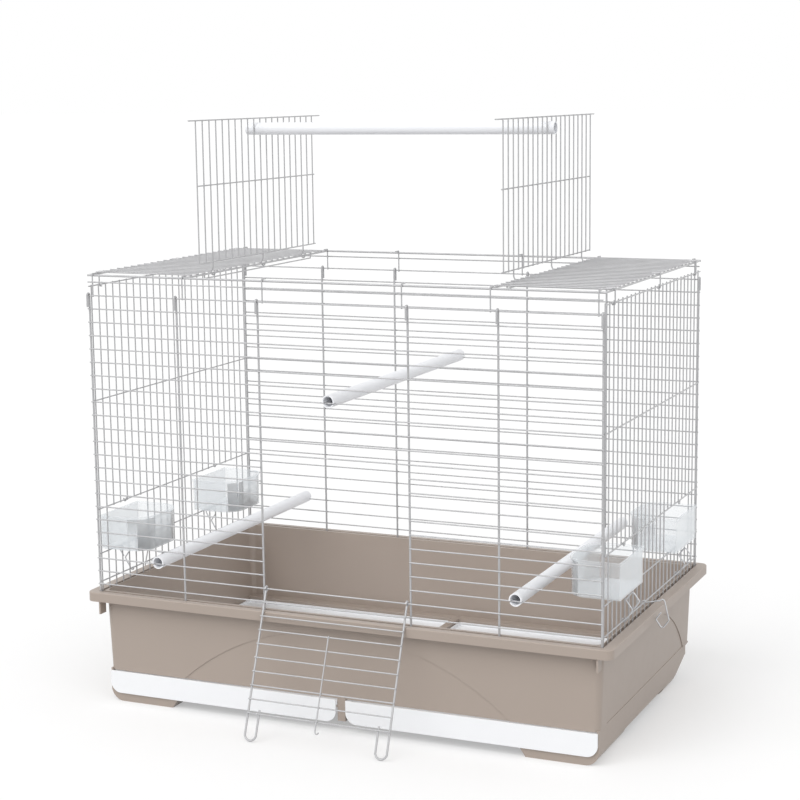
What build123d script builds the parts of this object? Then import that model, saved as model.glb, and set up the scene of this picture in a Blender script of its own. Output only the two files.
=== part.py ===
"""Wire parrot cage on a moulded base, with an opening roof used as a perch stand.

The frame is +Z up with the origin on the floor under the middle of the base: X runs to the right
along the front, Y runs from the front to the back. All sizes are in millimetres.

The cage body is four welded wire panels that stand in a groove round the base's rim, under a
welded roof frame. The two roof lids stand upright at rest and carry the top perch, and the front
door hangs open over the rim.
"""

import os
from math import atan, cos, degrees, pi, radians, sin

from build123d import *

os.makedirs("parts", exist_ok=True)

# Wires
fine_wire = 2.0
stout_wire = 3.0
weld_gap = 0.05
running_gap = 0.3
fine_sides = 6
stout_sides = 8
across_corners = 1.0 / cos(pi / fine_sides)

# Cage body
body_half_x = 382.5
body_half_y = 230.0
rung_pitch = 19.2
first_rung_z = 179.3
rung_count = 22
upright_places = (112.0, 240.0, body_half_x)
side_pitch = 18.7
side_wires_each_way = 12
side_rung_heights = (180.2, 222.0, 288.0, 448.0, 614.0)
side_top_overrun = 2.0
vee_half_width = 4.0
vee_drop = 8.0

# Roof
roof_z = 630.0
flange_set_out = 0.15
opening_half_x = 229.0
end_stub_inset = 6.5
stub_places = (104.0, 229.5, body_half_x - end_stub_inset)
stub_return = 12.0
keeper_drop = 6.0
keeper_half_y = 168.0
roof_hook_half_y = 196.35
roof_hook_middle_y = 9.35

# Roof lids
lid_pitch = 19.05
lid_wires = 20
lid_bottom_rise = 16.0
lid_middle_rise = 125.0
lid_height = 216.0
lid_top_overhang = 23.0
hinge_wires = (2, 10, 17)

# Front door
door_first_rung = 1
door_last_rung = 11
door_side_gap = 3.0
door_hang_angle = 21.0
door_rungs = 9
door_loop_width = 17.0
door_loop_end = 210.0
door_latch_start = 3
door_latch_end = 186.5
door_latch_hook = 5.0
door_loop_tail = 5.8

# Base
rim_half_x = 400.0
rim_half_y = 242.5
rim_top_z = 167.5
rim_plate = 7.5
rim_skirt = 13.5
rim_radius = 12.0
rim_edge_break = 1.0
wall = 2.5
wall_top_half_x = 381.0
wall_top_half_y = 225.0
wall_draft = 4.5
basin_bottom_z = 47.0
wall_radius = 14.0
groove_width = 5.0
groove_depth = 5.0
arch_half_front = 251.0
arch_half_side = 190.0
arch_rise = 96.0
arch_depth = 1.2
gusset_height = 19.0
gusset_length = 15.0
base_half_x = 376.0
base_wall = 3.0
base_front_y = -220.5
base_rear_y = 205.0
foot_height = 12.0
foot_radius = 20.0
foot_inner_top_x = 265.0
foot_inner_bottom_x = 273.0
front_foot_length = 120.0
rear_foot_start = 90.0
rear_foot_end = 150.0
base_lower_z = 15.0
rear_corner_rise = 18.0
guide_z = 34.7
guide_height = 3.0
guide_reach = 11.0
web_half = 5.5
post_half = 7.0
rear_lower_z = 20.0
ledge = 2.5
bite = 1.0

# Drawers
drawer_gap = 0.3
drawer_side_gap = 1.0
drawer_floor = 2.0
drawer_lip = 5.0
drawer_lip_wall = 2.0
drawer_front = 3.0
drawer_front_bottom = 13.0
drawer_front_top = 46.0
drawer_front_radius = 16.0
drawer_rib_drop = 8.0
finger_hole_length = 25.0
finger_hole_width = 16.0
finger_hole_spacing = 184.0
finger_hole_y = 150.0

# Perches
perch_diameter = 18.0
perch_wall = 1.75
perch_overrun = 4.5
perch_grip_offset = 3.0
left_perch_inset = 102.5
right_perch_inset = 117.5
middle_perch_x = -4.0
lower_perch_rung = 2
middle_perch_rung = 15
upper_perch_z = 830.5
upper_perch_left_x = -244.0
upper_perch_right_x = 238.0
upper_perch_flat = 30.0

# Cups
cup_width = 104.0
cup_inside = 60.0
cup_outside = 15.0
cup_height = 50.0
cup_corner = 30.0
cup_wall = 1.5
cup_lip = 1.5
cup_lip_height = 3.0
front_cup_wires = (1, 5)
rear_cup_wires = (15, 20)

# Clips
clip_half_width = 9.5
clip_half_height = 13.0
cup_clip_rise = 28.0
tray_clip_y = -46.75
tray_clip_drop = 22.0
drop_height = 17.0
drop_half_width = 3.0

# Worked-out places
rung_heights = [first_rung_z + rung_pitch * i for i in range(rung_count)]
rung_y = body_half_y + (stout_wire + fine_wire) / 2 + weld_gap
side_rung_x = body_half_x + fine_wire + weld_gap
groove_floor_z = rim_top_z - groove_depth
door_bottom_z = rung_heights[door_first_rung]
opening_edge = upright_places[0]
flange_y = rung_y + flange_set_out
lower_flange_z = rung_heights[-1] + rung_pitch
upper_flange_z = lower_flange_z + rung_pitch
corner_reach = fine_wire / 2 * across_corners
stub_y = flange_y - fine_wire / 2 - corner_reach - weld_gap
rail_y = stub_y - stout_wire / 2 - corner_reach - weld_gap
roof_stub_x = side_rung_x + fine_wire / 2 + corner_reach + weld_gap
rail_x = roof_stub_x - stout_wire / 2 - corner_reach - weld_gap
roof_wire_z = roof_z + (stout_wire + fine_wire) / 2 + weld_gap
return_z = roof_z + stout_wire / 2 + corner_reach + weld_gap
guide_top_z = guide_z + guide_height
drawer_floor_z = guide_top_z + drawer_gap
cup_bottom_z = side_rung_heights[1] + fine_wire / 2 + running_gap


def finish(builder, name):
    """Label a finished piece and write it to its own file."""
    builder.part.label = name
    export_step(builder.part, f"parts/{name}.step")


def wire_section(diameter):
    """Cross section of a wire, with flats that face the welded neighbour."""
    sides = stout_sides if diameter > fine_wire else fine_sides
    RegularPolygon(diameter / 2, sides, major_radius=False, rotation=180 / sides)


def wires_along_x(x_from, x_to, places, diameter):
    """Parallel wires along X at a list of (y, z) places, flats facing front and back."""
    with BuildSketch(Plane(origin=(x_from, 0, 0), x_dir=(0, 1, 0), z_dir=(1, 0, 0))) as ends:
        with Locations(*places):
            wire_section(diameter)
    extrude(ends.sketch, amount=x_to - x_from)


def wires_along_y(y_from, y_to, places, diameter):
    """Parallel wires along Y at a list of (x, z) places, flats facing the sides."""
    with BuildSketch(Plane(origin=(0, y_from, 0), x_dir=(1, 0, 0), z_dir=(0, 1, 0))) as ends:
        with Locations(*[(x, -z) for x, z in places]):
            wire_section(diameter)
    extrude(ends.sketch, amount=y_to - y_from)


def roof_wires(x_from, x_to, y_places):
    """Parallel roof wires along X, flats facing up and down."""
    with BuildSketch(Plane(origin=(x_from, 0, 0), x_dir=(0, 0, -1), z_dir=(1, 0, 0))) as ends:
        with Locations(*[(-roof_wire_z, y) for y in y_places]):
            wire_section(fine_wire)
    extrude(ends.sketch, amount=x_to - x_from)


def round_wire(start, direction, length, diameter):
    """A straight wire with a true round section, for the wires that something hinges on."""
    with BuildSketch(Plane(origin=start, z_dir=direction)) as end:
        Circle(diameter / 2)
    extrude(end.sketch, amount=length)


def wires_up(z_from, z_to, places, diameter):
    """Parallel upright wires at a list of (x, y) places, flats facing the sides."""
    with BuildSketch(Plane.XY.offset(z_from)) as ends:
        with Locations(*places):
            wire_section(diameter)
    extrude(ends.sketch, amount=z_to - z_from)


def bent_wire(points, diameter, flat_way):
    """One wire bent along a list of points in a plane whose normal is flat_way."""
    start = Vector(*points[0])
    with BuildLine() as route:
        Polyline(*points)
    with BuildSketch(Plane(origin=start, x_dir=flat_way, z_dir=Vector(*points[1]) - start)) as end:
        wire_section(diameter)
    sweep(end.sketch, path=route.line, transition=Transition.RIGHT)


def ring_points(radius, start_angle, end_angle, steps):
    """Corners of a bend round a round wire, outside the given radius."""
    step = (end_angle - start_angle) / steps
    corner = radius / cos(radians(step / 2))
    return [
        (corner * cos(radians(start_angle + step * i)), corner * sin(radians(start_angle + step * i)))
        for i in range(steps + 1)
    ]


# The base: one moulded basin without a floor, its rim and its feet
def wall_halves(z, inset=0.0):
    """Half sizes of the drafted basin wall at a height."""
    share = (rim_top_z - z) / (rim_top_z - basin_bottom_z)
    return wall_top_half_x - wall_draft * share - inset, wall_top_half_y - wall_draft * share - inset


def basin_block(inset, mode):
    """Drafted block of the basin's outer shape, drawn in by a wall."""
    depth = rim_top_z - basin_bottom_z
    half_x, half_y = wall_halves(rim_top_z, inset)
    with BuildSketch(Plane.XY.offset(rim_top_z)) as outline:
        RectangleRounded(2 * half_x, 2 * half_y, wall_radius - inset)
    extrude(outline.sketch, amount=-depth, taper=degrees(atan(wall_draft / depth)), mode=mode)


def arch_profile(half_width):
    """Round-headed panel that rises from the basin's lower edge."""
    arch_radius = (half_width**2 + arch_rise**2) / (2 * arch_rise)
    with BuildLine() as outline:
        RadiusArc((half_width, basin_bottom_z), (-half_width, basin_bottom_z), -arch_radius)
        Line((-half_width, basin_bottom_z), (half_width, basin_bottom_z))
    make_face(outline.edges())


with BuildPart() as arch_skin:
    basin_block(0.0, Mode.ADD)
    basin_block(arch_depth, Mode.SUBTRACT)

with BuildPart() as arch_panels:
    with BuildSketch(Plane.XZ.offset(-rim_half_y)):
        arch_profile(arch_half_front)
    extrude(amount=2 * rim_half_y)
    with BuildSketch(Plane.YZ.offset(-rim_half_x)):
        arch_profile(arch_half_side)
    extrude(amount=2 * rim_half_x)
    add(arch_skin.part, mode=Mode.INTERSECT)

with BuildPart() as tray:
    basin_block(0.0, Mode.ADD)
    with BuildSketch(Plane.XY.offset(rim_top_z)):
        RectangleRounded(2 * rim_half_x, 2 * rim_half_y, rim_radius)
    extrude(amount=-rim_plate)
    with BuildSketch(Plane.XY.offset(rim_top_z)):
        RectangleRounded(2 * rim_half_x, 2 * rim_half_y, rim_radius)
        offset(amount=-wall, mode=Mode.SUBTRACT)
    extrude(amount=-rim_skirt)
    basin_block(wall, Mode.SUBTRACT)
    with BuildSketch(Plane.XY.offset(rim_top_z)):
        RectangleRounded(2 * body_half_x + groove_width, 2 * body_half_y + groove_width, groove_width / 2)
        Rectangle(2 * body_half_x - groove_width, 2 * body_half_y - groove_width, mode=Mode.SUBTRACT)
    extrude(amount=-groove_depth, mode=Mode.SUBTRACT)
    add(arch_panels.part, mode=Mode.SUBTRACT)

    # Side walls under the basin, with the drawer guides
    with BuildSketch(Plane.XZ.offset(-base_front_y)) as base_side:
        with Locations((base_half_x - base_wall / 2, (base_lower_z + basin_bottom_z) / 2 + bite)):
            Rectangle(base_wall, basin_bottom_z - base_lower_z + 2 * bite)
        with Locations((base_half_x - base_wall - guide_reach / 2, guide_z + guide_height / 2)):
            Rectangle(guide_reach + bite, guide_height)
        mirror(about=Plane.YZ)
    extrude(amount=base_front_y - base_rear_y)

    # Feet, each running up round the lower corner into the side wall
    foot_inner = base_half_x - base_wall
    foot_inner_radius = foot_radius - base_wall
    with BuildSketch(Plane.XZ.offset(-base_front_y)) as foot_profile:
        with BuildLine():
            Line((foot_inner_bottom_x, 0), (base_half_x - foot_radius, 0))
            RadiusArc((base_half_x - foot_radius, 0), (base_half_x, foot_radius), -foot_radius)
            Line((base_half_x, foot_radius), (base_half_x, guide_z))
            Line((base_half_x, guide_z), (foot_inner, guide_z))
            Line((foot_inner, guide_z), (foot_inner, foot_height + foot_inner_radius))
            RadiusArc(
                (foot_inner, foot_height + foot_inner_radius),
                (foot_inner - foot_inner_radius, foot_height),
                foot_inner_radius,
            )
            Line((foot_inner - foot_inner_radius, foot_height), (foot_inner_top_x, foot_height))
            Line((foot_inner_top_x, foot_height), (foot_inner_bottom_x, 0))
        make_face()
        mirror(about=Plane.YZ)
    extrude(amount=-front_foot_length)
    with BuildSketch(Plane.XZ.offset(-rear_foot_start)):
        add(foot_profile.sketch_local)
    extrude(amount=rear_foot_start - rear_foot_end)

    # Back wall under the basin, stepped in, and the ledge above it
    with BuildSketch(Plane.XY.offset(rear_lower_z)):
        with Locations((0, base_rear_y - base_wall / 2)):
            Rectangle(2 * base_half_x, base_wall)
    extrude(amount=basin_bottom_z + ledge - rear_lower_z)
    ledge_end_y = wall_halves(basin_bottom_z)[1] - wall / 2
    with BuildSketch(Plane.XY.offset(basin_bottom_z)):
        with Locations((0, (base_rear_y - base_wall + ledge_end_y) / 2)):
            Rectangle(2 * base_half_x, ledge_end_y - base_rear_y + base_wall)
    extrude(amount=ledge)

    # Web between the drawers, with its guides and the post at the front
    with BuildSketch(Plane.XZ.offset(-base_front_y)):
        with Locations((0, (base_lower_z + basin_bottom_z + ledge) / 2)):
            Rectangle(2 * web_half, basin_bottom_z + ledge - base_lower_z)
        with Locations((0, guide_z + guide_height / 2)):
            Rectangle(2 * (web_half + guide_reach), guide_height)
    extrude(amount=base_front_y - base_rear_y)
    with BuildSketch(Plane.XY.offset(base_lower_z)):
        with Locations((0, base_front_y + wall)):
            Rectangle(2 * post_half - 2 * drawer_side_gap, 2 * wall)
    extrude(amount=basin_bottom_z + bite - base_lower_z)

    # Lower rear corners are cut away behind the rear feet
    with BuildSketch(Plane.YZ.offset(-base_half_x - bite)):
        with BuildLine():
            Polyline(
                (rear_foot_end, 0),
                (rear_foot_end, base_lower_z),
                (base_rear_y - base_wall, base_lower_z + rear_corner_rise),
                (base_rear_y + bite, base_lower_z + rear_corner_rise),
                (base_rear_y + bite, 0),
                close=True,
            )
        make_face()
    extrude(amount=2 * (base_half_x + bite), mode=Mode.SUBTRACT)

    # Gussets under the rim at the four corners
    gusset_x = wall_halves(rim_top_z - rim_skirt)[0] - wall / 2
    gusset_y = rim_half_y - wall - gusset_length / 2
    with BuildSketch(Plane.XY.offset(rim_top_z - rim_plate)):
        with GridLocations(2 * gusset_x, 2 * gusset_y, 2, 2):
            Rectangle(wall, gusset_length)
    extrude(amount=rim_plate - rim_skirt - gusset_height)

    rim_edges = tray.edges().filter_by(GeomType.LINE).group_by(Axis.Z)[-1]
    outer_rim = rim_edges.filter_by(
        lambda edge: abs(edge.center().X) > rim_half_x - wall or abs(edge.center().Y) > rim_half_y - wall
    )
    chamfer(outer_rim, rim_edge_break)
finish(tray, "tray")


# Drawers: shallow white pans that run on the guides, each with a tall front
def drawer_part(side):
    """One drawer. side is -1 for the left one and 1 for the right one."""
    inner_x = web_half + drawer_side_gap
    outer_x = base_half_x - base_wall - drawer_side_gap
    centre_x = side * (inner_x + outer_x) / 2
    width = outer_x - inner_x
    front_y = base_front_y - running_gap
    rear_y = base_rear_y - base_wall - drawer_side_gap
    front_inner = post_half + drawer_side_gap / 2
    front_outer = base_half_x - drawer_side_gap
    front_centre = side * (front_inner + front_outer) / 2
    with BuildPart() as drawer:
        with BuildSketch(Plane.XY.offset(drawer_floor_z)):
            with Locations((centre_x, (front_y + rear_y) / 2)):
                Rectangle(width, rear_y - front_y)
        extrude(amount=drawer_floor + drawer_lip)
        with BuildSketch(Plane.XY.offset(drawer_floor_z + drawer_floor)):
            with Locations((centre_x, (front_y + rear_y - drawer_lip_wall) / 2)):
                Rectangle(width - 2 * drawer_lip_wall, rear_y - front_y - drawer_lip_wall)
        extrude(amount=drawer_lip, mode=Mode.SUBTRACT)
        with BuildSketch(Plane.XY.offset(drawer_floor_z)):
            with Locations((centre_x, finger_hole_y)):
                with GridLocations(finger_hole_spacing, 0, 2, 1):
                    SlotOverall(finger_hole_length, finger_hole_width)
        extrude(amount=drawer_floor, mode=Mode.SUBTRACT)
        with BuildSketch(Plane.XY.offset(drawer_floor_z)):
            with Locations((centre_x, (front_y + rear_y) / 2)):
                with GridLocations(width / 3, 0, 3, 1):
                    Rectangle(drawer_lip_wall, rear_y - front_y)
        extrude(amount=-drawer_rib_drop)
        with BuildSketch(Plane.XZ.offset(-front_y)) as front_face:
            with Locations((front_centre, (drawer_front_bottom + drawer_front_top) / 2)):
                Rectangle(front_outer - front_inner, drawer_front_top - drawer_front_bottom)
            lower = front_face.vertices().group_by(Axis.Y)[0]
            fillet(lower, drawer_front_radius)
        extrude(amount=drawer_front)
    return drawer


for name, side in (("left_drawer", -1), ("right_drawer", 1)):
    finish(drawer_part(side), name)


# Front and back panels: welded rungs across stout uprights that hook over the roof flange
def hooked_upright(x, facing):
    """An upright from the rim's groove to a hook over the roof's lower flange wire."""
    hook = (stout_wire + fine_wire) / 2 + running_gap - weld_gap
    top = lower_flange_z + hook
    outer = flange_y + hook
    bevel = hook / 2
    bent_wire(
        [
            (x, facing * body_half_y, groove_floor_z),
            (x, facing * body_half_y, top - bevel),
            (x, facing * (body_half_y + bevel), top),
            (x, facing * (outer - bevel), top),
            (x, facing * outer, top - bevel),
            (x, facing * outer, top - rung_pitch),
        ],
        stout_wire,
        (1, 0, 0),
    )


def end_panel(facing, door_opening):
    """A front (facing -1) or back (facing 1) panel, with or without the door's opening."""
    cut_rungs = range(door_first_rung + 1, door_last_rung) if door_opening else ()
    hinge_rungs = (door_first_rung,) if door_opening else ()
    plain = [i for i in range(rung_count) if i not in cut_rungs and i not in hinge_rungs]
    whole = [(facing * rung_y, rung_heights[i]) for i in plain]
    cut = [(facing * rung_y, z) for i, z in enumerate(rung_heights) if i in cut_rungs]
    rung_end = body_half_x + stout_wire / 2
    with BuildPart() as panel:
        wires_along_x(-rung_end, rung_end, whole, fine_wire)
        for i in hinge_rungs:
            round_wire((-rung_end, facing * rung_y, rung_heights[i]), (1, 0, 0), 2 * rung_end, fine_wire)
        if cut:
            wires_along_x(-rung_end, -opening_edge, cut, fine_wire)
            wires_along_x(opening_edge, rung_end, cut, fine_wire)
        for x in upright_places:
            hooked_upright(-x, facing)
            hooked_upright(x, facing)
    return panel


finish(end_panel(-1, True), "front_panel")
finish(end_panel(1, False), "back_panel")


# Side panels: fine uprights with five rungs, open where the cups go through
def side_wire_y(index):
    """Place of a side panel's upright, counted from the front."""
    return (index - side_wires_each_way + 1) * side_pitch


def side_panel(side):
    """A left (-1) or right (1) side panel."""
    last = 2 * side_wires_each_way - 1
    cups = (front_cup_wires, rear_cup_wires)
    cut = [i for first, end in cups for i in range(first, end + 1)]
    whole = [(side * body_half_x, side_wire_y(i)) for i in range(-1, last + 1) if i not in cut]
    broken = [(side * body_half_x, side_wire_y(i)) for i in cut]
    top_z = side_rung_heights[-1] + side_top_overrun
    rung_half = body_half_y - fine_wire
    vee_top_z = side_rung_heights[2] + fine_wire
    with BuildPart() as panel:
        wires_up(groove_floor_z, top_z, whole, fine_wire)
        wires_up(groove_floor_z, side_rung_heights[1] + fine_wire / 2, broken, fine_wire)
        wires_up(side_rung_heights[2] - fine_wire / 2, top_z, broken, fine_wire)
        clip_rung = (side * side_rung_x, -rung_half, side_rung_heights[0])
        round_wire(clip_rung, (0, 1, 0), 2 * rung_half, fine_wire)
        rungs = [(side * side_rung_x, z) for z in side_rung_heights[1:]]
        wires_along_y(-rung_half, rung_half, rungs, fine_wire)
        for first, end in cups:
            middle = (side_wire_y(first) + side_wire_y(end)) / 2
            tip_x = side * (side_rung_x + fine_wire + weld_gap)
            bent_wire(
                [
                    (tip_x, middle - vee_half_width, vee_top_z),
                    (tip_x, middle, side_rung_heights[2] - vee_drop),
                    (tip_x, middle + vee_half_width, vee_top_z),
                ],
                fine_wire,
                (1, 0, 0),
            )
    return panel


for name, side in (("left_side_panel", -1), ("right_side_panel", 1)):
    finish(side_panel(side), name)


# Roof: a stout frame, a fixed grille at each end, and flanges that the panels hook onto
def roof_stub(x, facing):
    """A flange stub that bends back over the front or back rail."""
    bevel = fine_wire / 2
    bent_wire(
        [
            (x, facing * stub_y, lower_flange_z - fine_wire),
            (x, facing * stub_y, return_z - bevel),
            (x, facing * (stub_y - bevel), return_z),
            (x, facing * (stub_y - stub_return), return_z),
        ],
        fine_wire,
        (1, 0, 0),
    )


def roof_side_hook(side, y):
    """A hook from the side rail down and under the side panel's top wire."""
    bevel = fine_wire / 2
    under_z = side_rung_heights[-1] - fine_wire * across_corners - running_gap / 2
    bent_wire(
        [
            (side * body_half_x, y, under_z),
            (side * (roof_stub_x - bevel), y, under_z),
            (side * roof_stub_x, y, under_z + bevel),
            (side * roof_stub_x, y, return_z - bevel),
            (side * (roof_stub_x - bevel), y, return_z),
            (side * (roof_stub_x - stub_return), y, return_z),
        ],
        fine_wire,
        (0, 1, 0),
    )


with BuildPart() as roof_panel:
    corner_x = rail_x + stout_wire / 2
    rail_end_y = rail_y - stout_wire / 2 - weld_gap
    wires_along_x(-corner_x, corner_x, [(-rail_y, roof_z), (rail_y, roof_z)], stout_wire)
    wires_along_y(-rail_end_y, rail_end_y, [(-rail_x, roof_z), (rail_x, roof_z)], stout_wire)
    for edge_x in (-opening_half_x, opening_half_x):
        round_wire((edge_x, -rail_end_y, roof_z), (0, 1, 0), 2 * rail_end_y, stout_wire)
    flange = [(f * flange_y, z) for f in (-1, 1) for z in (lower_flange_z, upper_flange_z)]
    wires_along_x(-body_half_x, body_half_x, flange, fine_wire)
    grille_y = [side_wire_y(i) for i in range(2 * side_wires_each_way - 1)]
    grille_inner = opening_half_x - stout_wire / 2
    roof_wires(grille_inner, corner_x, grille_y)
    roof_wires(-corner_x, -grille_inner, grille_y)
    for x in stub_places:
        for facing in (-1, 1):
            roof_stub(-x, facing)
            roof_stub(x, facing)
    for side in (-1, 1):
        for y in (-roof_hook_half_y, roof_hook_middle_y, roof_hook_half_y):
            roof_side_hook(side, y)
        keeper_top = roof_z - stout_wire / 2 - weld_gap
        bent_wire(
            [
                (side * opening_half_x, -keeper_half_y, keeper_top),
                (side * opening_half_x, -keeper_half_y, roof_z - keeper_drop),
                (side * opening_half_x, keeper_half_y, roof_z - keeper_drop),
                (side * opening_half_x, keeper_half_y, keeper_top),
            ],
            fine_wire,
            (1, 0, 0),
        )
finish(roof_panel, "roof_panel")


# Roof lids, upright, and the hooks that hinge them on the roof's edge bars
def lid_wire_y(index):
    """Place of a lid's wire, counted from the front."""
    return (index - (lid_wires - 1) / 2) * lid_pitch


def roof_lid(side):
    """One lid: twenty wires welded to three cross bars."""
    bar_x = side * (opening_half_x - fine_wire - weld_gap)
    bar_half = lid_wire_y(lid_wires - 1) + fine_wire / 2
    top_half = lid_wire_y(lid_wires - 1) + lid_top_overhang
    with BuildPart() as lid:
        places = [(side * opening_half_x, lid_wire_y(i)) for i in range(lid_wires)]
        low = roof_z + lid_bottom_rise - fine_wire / 2
        wires_up(low, roof_z + lid_height + fine_wire / 2, places, fine_wire)
        bars = ((lid_bottom_rise, bar_half), (lid_middle_rise, bar_half), (lid_height, top_half))
        for rise, half in bars:
            wires_along_y(-half, half, [(bar_x, roof_z + rise)], fine_wire)
    return lid


def lid_hooks(side):
    """Three hinge hooks that carry on from lid wires and curl under the edge bar."""
    reach = (stout_wire + fine_wire) / 2 * across_corners + running_gap / 2
    curl = [(x, z) for x, z in ring_points(reach, 22.5, -202.5, 5)]
    with BuildPart() as hooks:
        for index in hinge_wires:
            y = lid_wire_y(index)
            bent_wire(
                [
                    (side * opening_half_x, y, roof_z + lid_bottom_rise - fine_wire / 2 - weld_gap),
                    (side * opening_half_x, y, roof_z + lid_bottom_rise / 2),
                ]
                + [(side * (opening_half_x + x), y, roof_z + z) for x, z in curl],
                fine_wire,
                (0, 1, 0),
            )
    return hooks


for name, side in (("left", -1), ("right", 1)):
    finish(roof_lid(side), f"{name}_roof_lid")
    finish(lid_hooks(side), f"{name}_lid_hooks")


# Front door, hanging open: its places are distances down the door from the hinge rung
hang = radians(door_hang_angle)
hinge_y = -rung_y


def on_door(x, down, out=0.0):
    """A place on the hanging door: across, down from the hinge, and out from its face."""
    return (
        x,
        hinge_y - down * sin(hang) - out * cos(hang),
        door_bottom_z - down * cos(hang) + out * sin(hang),
    )


door_normal = (0, -cos(hang), sin(hang))
door_side_x = opening_edge - stout_wire / 2 - door_side_gap


def door_side_wire(side):
    """A side wire in one length: an eye round the hinge rung, the leg, and the handle loop."""
    leg_x = side * door_side_x
    eye_reach = (fine_wire + stout_wire) / 2 * across_corners + running_gap / 2
    loop_radius = door_loop_width / 2
    loop_x = side * (door_side_x - loop_radius)
    loop_down = door_loop_end - loop_radius
    inner_end = door_rungs * rung_pitch - door_loop_tail
    eye = [on_door(leg_x, a, b) for a, b in ring_points(eye_reach, -290.0, 0.0, 6)]
    turn = [(a, b) for a, b in ring_points(loop_radius, 15.0, 165.0, 5)]
    loop = [on_door(loop_x + side * a, loop_down + b) for a, b in turn]
    bent_wire(eye + loop + [on_door(loop_x - side * loop_radius, inner_end)], stout_wire, (1, 0, 0))


with BuildPart() as front_door:
    cross_half = door_side_x + stout_wire / 2
    cross_out = (stout_wire + fine_wire) / 2 + weld_gap
    door_side_wire(-1)
    door_side_wire(1)
    for i in range(1, door_rungs + 1):
        start = on_door(-cross_half, i * rung_pitch, cross_out)
        with BuildSketch(Plane(origin=start, x_dir=door_normal, z_dir=(1, 0, 0))):
            wire_section(fine_wire)
        extrude(amount=2 * cross_half)
finish(front_door, "front_door")

# The door's latch: a sprung wire on the cross wires, with a finger hook at its free end
with BuildPart() as front_door_latch:
    latch_out = cross_out + fine_wire + weld_gap
    hook_angles = ring_points(door_latch_hook / 2, 180.0, 0.0, 4)
    bent_wire(
        [on_door(0, door_latch_start * rung_pitch - fine_wire, latch_out)]
        + [on_door(a + door_latch_hook / 2, door_latch_end + b, latch_out) for a, b in hook_angles],
        fine_wire,
        door_normal,
    )
finish(front_door_latch, "front_door_latch")


# Perches: plastic tubes, slotted at the ends where they grip a panel wire
def cage_perch(x, rung):
    """A perch from the front panel to the back one, gripping one rung at each end."""
    end_y = rung_y + perch_overrun
    z = rung_heights[rung] + perch_grip_offset
    slot = fine_wire + 2 * running_gap
    slot_length = end_y - rung_y + slot / 2
    with BuildPart() as perch:
        with BuildSketch(Plane.XZ.offset(end_y)):
            with Locations((x, z)):
                Circle(perch_diameter / 2)
                Circle(perch_diameter / 2 - perch_wall, mode=Mode.SUBTRACT)
        extrude(amount=-2 * end_y)
        for facing in (-1, 1):
            middle_y = facing * (end_y - slot_length / 2)
            with BuildSketch(Plane.XY.offset(rung_heights[rung] - slot / 2)):
                with Locations((x, middle_y)):
                    Rectangle(2 * perch_diameter, slot_length)
            extrude(amount=slot, mode=Mode.SUBTRACT)
    return perch


finish(cage_perch(left_perch_inset - body_half_x, lower_perch_rung), "lower_left_perch")
finish(cage_perch(body_half_x - right_perch_inset, lower_perch_rung), "lower_right_perch")
finish(cage_perch(middle_perch_x, middle_perch_rung), "middle_perch")

with BuildPart() as upper_perch:
    with BuildSketch(Plane.YZ.offset(upper_perch_left_x)):
        with Locations((0, upper_perch_z)):
            Circle(perch_diameter / 2)
    extrude(amount=upper_perch_right_x - upper_perch_left_x)
    flat_half = lid_pitch / 2 - fine_wire / 2 - running_gap / 2
    with BuildSketch(Plane.XY.offset(upper_perch_z - perch_diameter)):
        for x in (upper_perch_left_x, upper_perch_right_x):
            for side in (-1, 1):
                with Locations((x, side * (flat_half + perch_diameter / 2))):
                    Rectangle(2 * upper_perch_flat, perch_diameter)
    extrude(amount=2 * perch_diameter, mode=Mode.SUBTRACT)
    with BuildSketch(Plane.YZ.offset(upper_perch_left_x)):
        with Locations((0, upper_perch_z)):
            Circle(perch_diameter / 2 - perch_wall)
    extrude(amount=upper_perch_right_x - upper_perch_left_x, mode=Mode.SUBTRACT)
finish(upper_perch, "upper_perch")


# Cups: clear troughs, rounded inside the cage and square outside it
def cup_outline(side, middle_y, inset):
    """Plan of a cup, drawn in by its wall."""
    inner_x = side * (body_half_x - cup_inside + inset)
    outer_x = side * (body_half_x + cup_outside - inset)
    half = cup_width / 2 - inset
    bend = cup_corner - inset
    inward = -side * bend
    with BuildLine() as outline:
        Polyline(
            (inner_x - inward, middle_y + half),
            (outer_x, middle_y + half),
            (outer_x, middle_y - half),
            (inner_x - inward, middle_y - half),
        )
        RadiusArc((inner_x - inward, middle_y - half), (inner_x, middle_y - half + bend), side * bend)
        Line((inner_x, middle_y - half + bend), (inner_x, middle_y + half - bend))
        RadiusArc((inner_x, middle_y + half - bend), (inner_x - inward, middle_y + half), side * bend)
    make_face(outline.edges())


def cup_part(side, middle_y):
    """One cup with its thickened lip."""
    top = cup_bottom_z + cup_height
    with BuildPart() as cup:
        with BuildSketch(Plane.XY.offset(cup_bottom_z)):
            cup_outline(side, middle_y, 0.0)
        extrude(amount=cup_height)
        with BuildSketch(Plane.XY.offset(top - cup_lip_height)):
            cup_outline(side, middle_y, -cup_lip)
        extrude(amount=cup_lip_height)
        with BuildSketch(Plane.XY.offset(cup_bottom_z + cup_wall)):
            cup_outline(side, middle_y, cup_wall)
        extrude(amount=cup_height, mode=Mode.SUBTRACT)
    return cup


# Clips: one bent wire each, an eye on a side panel rung and a diamond to press on
def diamond(side, x, y, z):
    """Corners of a diamond handle, from its top corner round to just short of it."""
    return [
        (side * x, y, z + clip_half_height),
        (side * (x + clip_half_width), y, z),
        (side * x, y, z - clip_half_height),
        (side * (x - clip_half_width), y, z),
        (side * (x - fine_wire), y, z + clip_half_height - 1.5 * fine_wire),
    ]


def clip_eye(side, y, z, start, end):
    """Corners of an eye that turns round a side panel rung."""
    reach = fine_wire * across_corners + running_gap / 2
    return [(side * (side_rung_x + a), y, z + b) for a, b in ring_points(reach, start, end, 5)]


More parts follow.
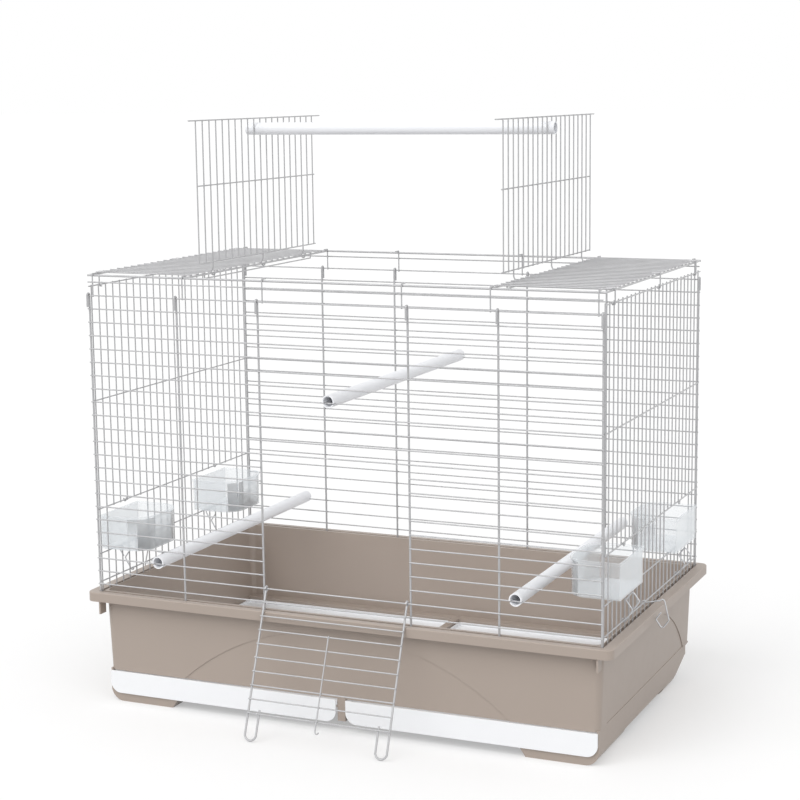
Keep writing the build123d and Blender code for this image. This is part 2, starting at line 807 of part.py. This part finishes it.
def cup_clip(side, y):
    """The clip under a cup: it stands on the lowest rung, its diamond in front of the cup."""
    hinge_z = side_rung_heights[0]
    x = side_rung_x + fine_wire + clip_half_width + running_gap
    z = hinge_z + cup_clip_rise
    corners = diamond(side, x, y, z)
    tail = (side * (x + fine_wire), y, z - clip_half_height + fine_wire)
    handle = corners[2:4] + corners[:2] + [tail]
    with BuildPart() as clip:
        bent_wire(clip_eye(side, y, hinge_z, -240.0, 0.0) + handle, fine_wire, (0, 1, 0))
    return clip


def tray_clip(side):
    """The clip that holds the cage on the base: it hangs over the rim."""
    hinge_z = side_rung_heights[0]
    x = rim_half_x + fine_wire / 2 + running_gap + clip_half_width
    z = hinge_z - tray_clip_drop
    top = (side * x, tray_clip_y, z + clip_half_height)
    drop_z = z + clip_half_height + drop_height
    drop = [
        (side * (x - drop_half_width), tray_clip_y, drop_z - drop_half_width),
        (side * x, tray_clip_y, drop_z),
        (side * (x + drop_half_width), tray_clip_y, drop_z - drop_half_width),
    ]
    with BuildPart() as clip:
        bent_wire(
            clip_eye(side, tray_clip_y, hinge_z, 270.0, 0.0)
            + drop
            + diamond(side, x, tray_clip_y, z)[1:],
            fine_wire,
            (0, 1, 0),
        )
    return clip


for side_name, side in (("left", -1), ("right", 1)):
    for place, (first, end) in (("front", front_cup_wires), ("rear", rear_cup_wires)):
        middle_y = (side_wire_y(first) + side_wire_y(end)) / 2
        between_wires_y = side_wire_y((first + end) // 2 + 0.5)
        finish(cup_part(side, middle_y), f"{place}_{side_name}_cup")
        finish(cup_clip(side, between_wires_y), f"{place}_{side_name}_cup_clip")
    finish(tray_clip(side), f"{side_name}_tray_clip")
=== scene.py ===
from math import cos, radians, sin

import bmesh
import bpy
from mathutils import Matrix, Vector
from mathutils.geometry import intersect_line_line


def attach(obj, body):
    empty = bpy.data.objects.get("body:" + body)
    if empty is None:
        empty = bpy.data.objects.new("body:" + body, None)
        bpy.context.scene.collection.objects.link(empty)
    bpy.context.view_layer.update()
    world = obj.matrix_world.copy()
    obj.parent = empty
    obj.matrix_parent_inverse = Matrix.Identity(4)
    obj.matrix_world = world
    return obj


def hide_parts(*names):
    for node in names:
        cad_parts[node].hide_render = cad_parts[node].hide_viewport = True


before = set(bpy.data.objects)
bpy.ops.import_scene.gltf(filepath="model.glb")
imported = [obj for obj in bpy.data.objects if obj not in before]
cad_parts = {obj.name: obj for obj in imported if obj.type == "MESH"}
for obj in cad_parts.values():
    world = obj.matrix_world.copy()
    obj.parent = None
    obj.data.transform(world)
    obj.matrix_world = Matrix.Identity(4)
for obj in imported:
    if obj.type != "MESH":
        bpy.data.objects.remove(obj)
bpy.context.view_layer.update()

# Cage panels: a front, a back, two sides and the roof frame with its fixed grilles. Each is a
# grille of drawn steel wire, spot welded at every crossing and dipped in pale grey enamel. They
# stand in the groove round the base and hook over each other at the roof.
MERGE = 1e-6
FLAT = radians(0.5)
FEWEST_END_SIDES = 6
EVEN = 1.05
WIRE_SIDES = 12
BEND_STEPS = 6
BEND = 0.003
SOFT_ANGLE = radians(38)
WELD_REACH = 0.0002
WELD_RADIUS = 0.00085
NEARLY_ALONG = 0.5
OVERRUN = 0.1
ENAMEL = (0.52, 0.52, 0.53, 1.0)
ENAMEL_THICK = (0.42, 0.42, 0.43, 1.0)


class Number:
    """A socket that carries a number, so that shader maths reads as plain arithmetic."""

    def __init__(self, finish, socket):
        self.finish = finish
        self.socket = socket

    def maths(self, operation, first, second):
        return self.finish.add("ShaderNodeMath", {"operation": operation}, {0: first, 1: second})

    def __radd__(self, other):
        return self.maths("ADD", other, self)

    def __rmul__(self, other):
        return self.maths("MULTIPLY", other, self)


class Finish:
    """A material whose nodes are added one call at a time."""

    def __init__(self, name):
        self.material = bpy.data.materials.new(name)
        self.material.use_nodes = True
        self.tree = self.material.node_tree
        self.shader = self.tree.nodes["Principled BSDF"]
        self.place = self.add("ShaderNodeTexCoord", output="Object")

    def add(self, kind, settings=None, values=None, output=0):
        node = self.tree.nodes.new(kind)
        for setting, value in (settings or {}).items():
            setattr(node, setting, value)
        self.fill(node, values or {})
        return Number(self, node.outputs[output])

    def fill(self, node, values):
        for key, value in values.items():
            if isinstance(value, Number):
                self.tree.links.new(value.socket, node.inputs[key])
            else:
                node.inputs[key].default_value = value

    def noise(self, scale, detail=2.0):
        return self.add(
            "ShaderNodeTexNoise", {}, {"Vector": self.place, "Scale": scale, "Detail": detail}, "Fac"
        )

    def tint(self, amount, light, dark):
        """A colour between two others, by a number that changes over the surface."""
        return self.add("ShaderNodeMix", {"data_type": "RGBA"}, {0: amount, 6: light, 7: dark}, 2)

    def bump(self, height, strength, depth):
        return self.add(
            "ShaderNodeBump", {}, {"Height": height, "Strength": strength, "Distance": depth}
        )

    def done(self, **values):
        named = {key.replace("_", " ").title(): value for key, value in values.items()}
        self.fill(self.shader, named)
        return self.material


def enamelled_wire(name, colour, darker, metal):
    """Dipped enamel on steel wire: a soft shine with a faint ripple and small runs of thicker coat."""
    coat = Finish(name)
    ripple = coat.noise(260.0, 3.0)
    runs = coat.noise(45.0)
    return coat.done(
        base_color=coat.tint(runs, colour, darker),
        roughness=0.26 + 0.16 * runs,
        normal=coat.bump(ripple, 0.12, 0.0002),
        metallic=metal,
        coat_weight=0.35,
        coat_roughness=0.12,
    )


def whole_mesh(node):
    """A node's mesh with its loose triangles joined up and its flat faces made whole."""
    shape = bmesh.new()
    shape.from_mesh(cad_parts[node].data)
    bmesh.ops.remove_doubles(shape, verts=shape.verts, dist=MERGE)
    bmesh.ops.dissolve_limit(shape, angle_limit=FLAT, verts=shape.verts, edges=shape.edges)
    return shape


def cut_end(face):
    """True for the small even polygon at the end of a wire."""
    lengths = [edge.calc_length() for edge in face.edges]
    return len(lengths) >= FEWEST_END_SIDES and max(lengths) < EVEN * min(lengths)


def wire_routes(node):
    """The centre line of each wire in a node, by diameter, walked from one cut end to the other."""
    shape = whole_mesh(node)
    ends = {face for face in shape.faces if cut_end(face)}
    routes = {}
    while ends:
        end = min(ends, key=lambda face: face.index)
        centre = end.calc_center_median()
        edge = end.edges[0]
        across = 2 * ((edge.verts[0].co + edge.verts[1].co) / 2 - centre).length
        diameter = round(across, 4)
        ring = set(end.verts)
        seen = set(ring)
        route = []
        while ring:
            route.append(sum((corner.co for corner in ring), Vector()) / len(ring))
            last = ring
            ring = {edge.other_vert(corner) for corner in ring for edge in corner.link_edges} - seen
            seen |= ring
        ends -= {end} | {face for corner in last for face in corner.link_faces}
        routes.setdefault(diameter, []).append(route)
    shape.free()
    return routes


def new_tree(name, sockets):
    """An empty Geometry Nodes tree with named inputs, and its two ends."""
    tree = bpy.data.node_groups.new(name, "GeometryNodeTree")
    for label, kind in sockets:
        tree.interface.new_socket(label, in_out="INPUT", socket_type=kind)
    tree.interface.new_socket("Result", in_out="OUTPUT", socket_type="NodeSocketGeometry")
    return tree, tree.nodes.new("NodeGroupInput"), tree.nodes.new("NodeGroupOutput")


def drawn_wire_tree():
    """Draws a round wire along each path of edges and eases the path's corners into bends."""
    tree, given, result = new_tree(
        "drawn_wire",
        (
            ("Paths", "NodeSocketGeometry"),
            ("Wire radius", "NodeSocketFloat"),
            ("Bend radius", "NodeSocketFloat"),
            ("Coat", "NodeSocketMaterial"),
        ),
    )
    line = tree.nodes.new("GeometryNodeMeshToCurve")
    bends = tree.nodes.new("GeometryNodeFilletCurve")
    bends.mode = "POLY"
    bends.inputs["Count"].default_value = BEND_STEPS
    bends.inputs["Limit Radius"].default_value = True
    section = tree.nodes.new("GeometryNodeCurvePrimitiveCircle")
    section.inputs["Resolution"].default_value = WIRE_SIDES
    skin = tree.nodes.new("GeometryNodeCurveToMesh")
    skin.inputs["Fill Caps"].default_value = True
    whole = tree.nodes.new("GeometryNodeRealizeInstances")
    coat = tree.nodes.new("GeometryNodeSetMaterial")
    for start, end in (
        (given.outputs["Paths"], line.inputs["Mesh"]),
        (line.outputs["Curve"], bends.inputs["Curve"]),
        (given.outputs["Bend radius"], bends.inputs["Radius"]),
        (bends.outputs["Curve"], skin.inputs["Curve"]),
        (given.outputs["Wire radius"], section.inputs["Radius"]),
        (section.outputs["Curve"], skin.inputs["Profile Curve"]),
        (skin.outputs["Mesh"], whole.inputs["Geometry"]),
        (whole.outputs["Geometry"], coat.inputs["Geometry"]),
        (given.outputs["Coat"], coat.inputs["Material"]),
        (coat.outputs["Geometry"], result.inputs["Result"]),
    ):
        tree.links.new(start, end)
    return tree


def weld_tree():
    """Sets a small bead at each point where two wires are welded."""
    tree, given, result = new_tree(
        "weld_beads",
        (
            ("Crossings", "NodeSocketGeometry"),
            ("Bead radius", "NodeSocketFloat"),
            ("Coat", "NodeSocketMaterial"),
        ),
    )
    bead = tree.nodes.new("GeometryNodeMeshIcoSphere")
    bead.inputs["Subdivisions"].default_value = 2
    spots = tree.nodes.new("GeometryNodeInstanceOnPoints")
    whole = tree.nodes.new("GeometryNodeRealizeInstances")
    coat = tree.nodes.new("GeometryNodeSetMaterial")
    for start, end in (
        (given.outputs["Crossings"], spots.inputs["Points"]),
        (given.outputs["Bead radius"], bead.inputs["Radius"]),
        (bead.outputs["Mesh"], spots.inputs["Instance"]),
        (spots.outputs["Instances"], whole.inputs["Geometry"]),
        (whole.outputs["Geometry"], coat.inputs["Geometry"]),
        (given.outputs["Coat"], coat.inputs["Material"]),
        (coat.outputs["Geometry"], result.inputs["Result"]),
    ):
        tree.links.new(start, end)
    return tree


def grown(name, tree, points, edges, values):
    """The plain mesh that a tree makes from points and edges."""
    seed = bpy.data.meshes.new(name)
    seed.from_pydata(points, edges, [])
    carrier = bpy.data.objects.new(name, seed)
    bpy.context.scene.collection.objects.link(carrier)
    modifier = carrier.modifiers.new(tree.name, "NODES")
    modifier.node_group = tree
    for item in tree.interface.items_tree:
        if item.name in values:
            modifier[item.identifier] = values[item.name]
    evaluated = carrier.evaluated_get(bpy.context.evaluated_depsgraph_get())
    mesh = bpy.data.meshes.new_from_object(evaluated)
    bpy.data.objects.remove(carrier)
    return mesh


def crossings(routes):
    """Points where two straight stretches of wire lie against each other."""
    runs = [
        (start, end, diameter / 2)
        for diameter, lines in routes.items()
        for line in lines
        for start, end in zip(line, line[1:])
    ]
    spots = []
    for i, (a, b, reach) in enumerate(runs):
        for c, d, other_reach in runs[i + 1 :]:
            if abs((b - a).normalized().dot((d - c).normalized())) > NEARLY_ALONG:
                continue
            near, far = intersect_line_line(a, b, c, d)
            if (near - far).length > reach + other_reach + WELD_REACH:
                continue
            inside = all(
                -OVERRUN * (e - s).length_squared
                <= (p - s).dot(e - s)
                <= (1 + OVERRUN) * (e - s).length_squared
                for s, e, p in ((a, b, near), (c, d, far))
            )
            if inside:
                share = reach / (reach + other_reach)
                spots.append(near.lerp(far, share))
    return spots


def shown(name, meshes, material):
    """One piece, smooth but for its real edges, made of several plain meshes."""
    shape = bmesh.new()
    for mesh in meshes:
        shape.from_mesh(mesh)
    joined = bpy.data.meshes.new(name)
    shape.to_mesh(joined)
    shape.free()
    joined.materials.clear()
    joined.materials.append(material)
    joined.polygons.foreach_set("use_smooth", [True] * len(joined.polygons))
    joined.set_sharp_from_angle(angle=SOFT_ANGLE)
    piece = bpy.data.objects.new(name, joined)
    bpy.context.scene.collection.objects.link(piece)
    return piece


def wire_piece(name, node, body, coat, welded=True):
    """A node's wires drawn round and smooth, with beads where they are welded."""
    routes = wire_routes(node)
    meshes = []
    for diameter, lines in routes.items():
        points = [point for line in lines for point in line]
        edges = []
        first = 0
        for line in lines:
            edges += [(first + i, first + i + 1) for i in range(len(line) - 1)]
            first += len(line)
        values = {"Wire radius": diameter / 2, "Bend radius": BEND, "Coat": coat}
        meshes.append(grown(name, wire_tree, points, edges, values))
    spots = crossings(routes) if welded else []
    if spots:
        values = {"Bead radius": WELD_RADIUS, "Coat": coat}
        meshes.append(grown(name, bead_tree, spots, [], values))
    piece = shown(name, meshes, coat)
    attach(piece, body)
    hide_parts(node)
    return piece


wire_tree = drawn_wire_tree()
bead_tree = weld_tree()
cage_enamel = enamelled_wire("pale_grey_enamel", ENAMEL, ENAMEL_THICK, 0.25)
for panel in ("front_panel", "back_panel", "left_side_panel", "right_side_panel", "roof_panel"):
    wire_piece(f"{panel}_wires", panel, "cage", cage_enamel)

# Roof lids: two grilles of twenty fine wires on three cross bars. Three wires of each run on
# into hooks that curl round the roof's edge bar, which is all the hinge there is.
for side in ("left", "right"):
    wire_piece(f"{side}_lid_wires", f"{side}_roof_lid", f"{side}_lid", cage_enamel)
    wire_piece(
        f"{side}_lid_hinge_hooks", f"{side}_lid_hooks", f"{side}_lid", cage_enamel, False
    )

# Front door: two stout side wires that turn round the hinge rung at one end and come back as
# fingertip loops at the other, with cross wires welded between, and a sprung latch wire.
wire_piece("front_door_wires", "front_door", "front_door", cage_enamel)
wire_piece("front_door_latch_wire", "front_door_latch", "front_door", cage_enamel, False)

# Clips: bent from bright galvanised wire, an eye on the side panel's lowest rung and a diamond
# to press on. The cups' clips lock the cups, and the base clips hook over the rim.
ZINC = (0.66, 0.67, 0.69, 1.0)
ZINC_DULL = (0.50, 0.51, 0.53, 1.0)
galvanised = enamelled_wire("galvanised_wire", ZINC, ZINC_DULL, 0.7)
CUPS = ("front_left_cup", "rear_left_cup", "front_right_cup", "rear_right_cup")
for clip in [f"{cup}_clip" for cup in CUPS] + ["left_tray_clip", "right_tray_clip"]:
    wire_piece(f"{clip}_wire", clip, clip, galvanised, False)

# Base: one deep injection moulding in taupe plastic, with a grooved rim, arched recesses in the
# walls, feet and drawer guides. The mould leaves a fine satin grain and slightly eased edges.
TAUPE = (0.410, 0.345, 0.300, 1.0)
TAUPE_DEEP = (0.385, 0.322, 0.278, 1.0)
BASE_EASING = 0.0005


def eased_copy(name, node, easing, material):
    """A moulded piece with its mesh made whole and its sharp edges eased."""
    shape = whole_mesh(node)
    mesh = bpy.data.meshes.new(name)
    shape.to_mesh(mesh)
    shape.free()
    piece = shown(name, [mesh], material)
    if easing:
        edges = piece.modifiers.new("eased_edges", "BEVEL")
        edges.width = easing
        edges.segments = 2
        edges.limit_method = "ANGLE"
        edges.angle_limit = SOFT_ANGLE
    flats = piece.modifiers.new("true_flats", "WEIGHTED_NORMAL")
    flats.keep_sharp = True
    evaluated = piece.evaluated_get(bpy.context.evaluated_depsgraph_get())
    eased = bpy.data.meshes.new_from_object(evaluated)
    piece.modifiers.clear()
    piece.data = eased
    return piece


def moulded_plastic(name, colour, deep, roughness, grain):
    """Satin plastic: a fine moulded grain, faint flow marks and slightly uneven gloss."""
    plastic = Finish(name)
    cloud = plastic.noise(6.0)
    speck = plastic.noise(1400.0, 1.0)
    flow = plastic.noise(70.0, 4.0)
    return plastic.done(
        base_color=plastic.tint(cloud, colour, deep),
        roughness=roughness - 0.05 + 0.10 * flow,
        normal=plastic.bump(speck, grain, 0.0001),
        coat_weight=0.05,
    )


taupe_plastic = moulded_plastic("taupe_plastic", TAUPE, TAUPE_DEEP, 0.42, 0.25)
base = eased_copy("base_moulding", "tray", BASE_EASING, taupe_plastic)
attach(base, "cage")
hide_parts("tray")

# Drawers: two shallow white pans, each with a tall glossy front and two finger holes. They run
# on the guides inside the base and stop against its back wall.
WHITE = (0.92, 0.93, 0.95, 1.0)
WHITE_DEEP = (0.89, 0.90, 0.92, 1.0)
DRAWER_EASING = 0.0004
white_plastic = moulded_plastic("white_plastic", WHITE, WHITE_DEEP, 0.22, 0.08)
for side in ("left", "right"):
    pan = eased_copy(f"{side}_drawer_pan", f"{side}_drawer", DRAWER_EASING, white_plastic)
    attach(pan, f"{side}_drawer")
    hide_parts(f"{side}_drawer")

# Perches: straight lengths of pale plastic tube, slotted or flattened at the ends to grip a wire.
# Three cross the cage from front to back, and one lies between the raised lids.
PALE = (0.90, 0.91, 0.94, 1.0)
PALE_DEEP = (0.85, 0.86, 0.89, 1.0)
perch_plastic = moulded_plastic("perch_plastic", PALE, PALE_DEEP, 0.38, 0.2)
for perch, body in (
    ("lower_left_perch", "cage"),
    ("lower_right_perch", "cage"),
    ("middle_perch", "cage"),
    ("upper_perch", "top_perch"),
):
    tube = eased_copy(f"{perch}_tube", perch, 0.0, perch_plastic)
    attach(tube, body)
    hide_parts(perch)


# Cups: clear styrene troughs with a thickened lip, pushed in through the side panels. Their
# thin walls show the light through them with a faint blue tint and a few scuffs, and a painted
# reflection makes them whiter where they are seen on edge.
CLEAR = (0.90, 0.94, 0.97, 1.0)
CLEAR_SCUFFED = (0.80, 0.85, 0.89, 1.0)
SEEN_THROUGH = 0.14
# How much more opaque and whiter the walls are painted where seen on edge: a painted reflection.
PAINTED_EDGE_REFLECTION = 0.55


def clear_plastic(name):
    """Clear moulded plastic: nearly unseen face on, whiter on edge by a painted reflection, hazy where
    it is scuffed.
    """
    clear = Finish(name)
    scuffs = clear.noise(90.0, 5.0)
    # Painted reflection: the walls turn more opaque and whiter as the surface turns side on to the
    # eye.
    edge = clear.add("ShaderNodeLayerWeight", {}, {"Blend": 0.35}, "Facing")
    return clear.done(
        base_color=clear.tint(scuffs, CLEAR, CLEAR_SCUFFED),
        roughness=0.05 + 0.15 * scuffs,
        alpha=SEEN_THROUGH + PAINTED_EDGE_REFLECTION * edge,
        coat_weight=0.6,
        coat_roughness=0.03,
    )


styrene = clear_plastic("clear_styrene")
for cup in CUPS:
    trough = eased_copy(f"{cup}_trough", cup, 0.0, styrene)
    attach(trough, cup)
    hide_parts(cup)

# Stage: a plain pale floor under plain soft light, and the camera at the photograph's angle.
FLOOR_HALF = 60.0
FLOOR_PALE = 0.60
FLOOR_GLOW = 0.37
SKY = 0.75
floor_mesh = bpy.data.meshes.new("floor")
floor_mesh.from_pydata(
    [(x * FLOOR_HALF, y * FLOOR_HALF, 0.0) for x, y in ((-1, -1), (1, -1), (1, 1), (-1, 1))],
    [],
    [(0, 1, 2, 3)],
)
floor = bpy.data.objects.new("floor", floor_mesh)
bpy.context.scene.collection.objects.link(floor)


def seen_directly(finish):
    """1 for rays from the eye, a reflection or a clear part, and 0 for light on its way."""
    eye = finish.add("ShaderNodeLightPath", output="Is Camera Ray")
    mirror = Number(finish, eye.socket.node.outputs["Is Glossy Ray"])
    glass = Number(finish, eye.socket.node.outputs["Is Transmission Ray"])
    return eye.maths("MAXIMUM", eye, eye.maths("MAXIMUM", mirror, glass))


pale = Finish("pale_floor")
pale.fill(pale.shader, {"Base Color": (FLOOR_PALE, FLOOR_PALE, FLOOR_PALE, 1.0), "Roughness": 0.9})
pale.fill(pale.shader, {"Specular IOR Level": 0.0, "Emission Color": (1.0, 1.0, 1.0, 1.0)})
pale.fill(pale.shader, {"Emission Strength": FLOOR_GLOW * seen_directly(pale)})
floor_mesh.materials.append(pale.material)

world = bpy.data.worlds.new("studio")
bpy.context.scene.world = world
world.use_nodes = True
sky = world.node_tree.nodes["Background"]
backdrop = world.node_tree.nodes.new("ShaderNodeBackground")
rays = world.node_tree.nodes.new("ShaderNodeLightPath")
direct = world.node_tree.nodes.new("ShaderNodeMath")
direct.operation = "MAXIMUM"
either = world.node_tree.nodes.new("ShaderNodeMath")
either.operation = "MAXIMUM"
blend = world.node_tree.nodes.new("ShaderNodeMixShader")
sky.inputs["Color"].default_value = (1.0, 1.0, 1.0, 1.0)
sky.inputs["Strength"].default_value = SKY
backdrop.inputs["Color"].default_value = (1.0, 1.0, 1.0, 1.0)
backdrop.inputs["Strength"].default_value = 1.0
for start, end in (
    (rays.outputs["Is Glossy Ray"], either.inputs[0]),
    (rays.outputs["Is Transmission Ray"], either.inputs[1]),
    (rays.outputs["Is Camera Ray"], direct.inputs[0]),
    (either.outputs[0], direct.inputs[1]),
    (direct.outputs[0], blend.inputs["Fac"]),
    (sky.outputs[0], blend.inputs[1]),
    (backdrop.outputs[0], blend.inputs[2]),
    (blend.outputs[0], world.node_tree.nodes["World Output"].inputs["Surface"]),
):
    world.node_tree.links.new(start, end)

# Each sun has a strength, and its softness, turn and height in degrees.
SUNS = (
    ("key", 1.1, 45.0, -25.0, 45.0),
    ("fill", 0.6, 70.0, 40.0, 35.0),
)
for name, strength, softness, turn, height in SUNS:
    lamp = bpy.data.lights.new(name, "SUN")
    lamp.energy = strength
    lamp.angle = radians(softness)
    light = bpy.data.objects.new(name, lamp)
    bpy.context.scene.collection.objects.link(light)
    towards = Vector(
        (
            sin(radians(turn)) * cos(radians(height)),
            -cos(radians(turn)) * cos(radians(height)),
            sin(radians(height)),
        )
    )
    light.rotation_euler = towards.to_track_quat("Z", "Y").to_euler()

CAMERA_LENS = 84.3
CAMERA_SENSOR = 36.0
CAMERA_PLACE = (1.0995, -2.4795, 0.888)
CAMERA_RIGHT = Vector((0.9146, 0.4042, -0.0123)).normalized()
CAMERA_BACK = Vector((0.4006, -0.9013, 0.1645)).normalized()
lens = bpy.data.cameras.new("camera")
lens.sensor_width = CAMERA_SENSOR
lens.lens = CAMERA_LENS
lens.clip_end = 200.0
camera = bpy.data.objects.new("camera", lens)
bpy.context.scene.collection.objects.link(camera)
camera_up = CAMERA_BACK.cross(CAMERA_RIGHT)
camera.matrix_world = Matrix.Translation(CAMERA_PLACE) @ Matrix(
    (CAMERA_RIGHT, camera_up, CAMERA_BACK)
).transposed().to_4x4()
bpy.context.scene.camera = camera
bpy.context.scene.view_settings.view_transform = "Standard"
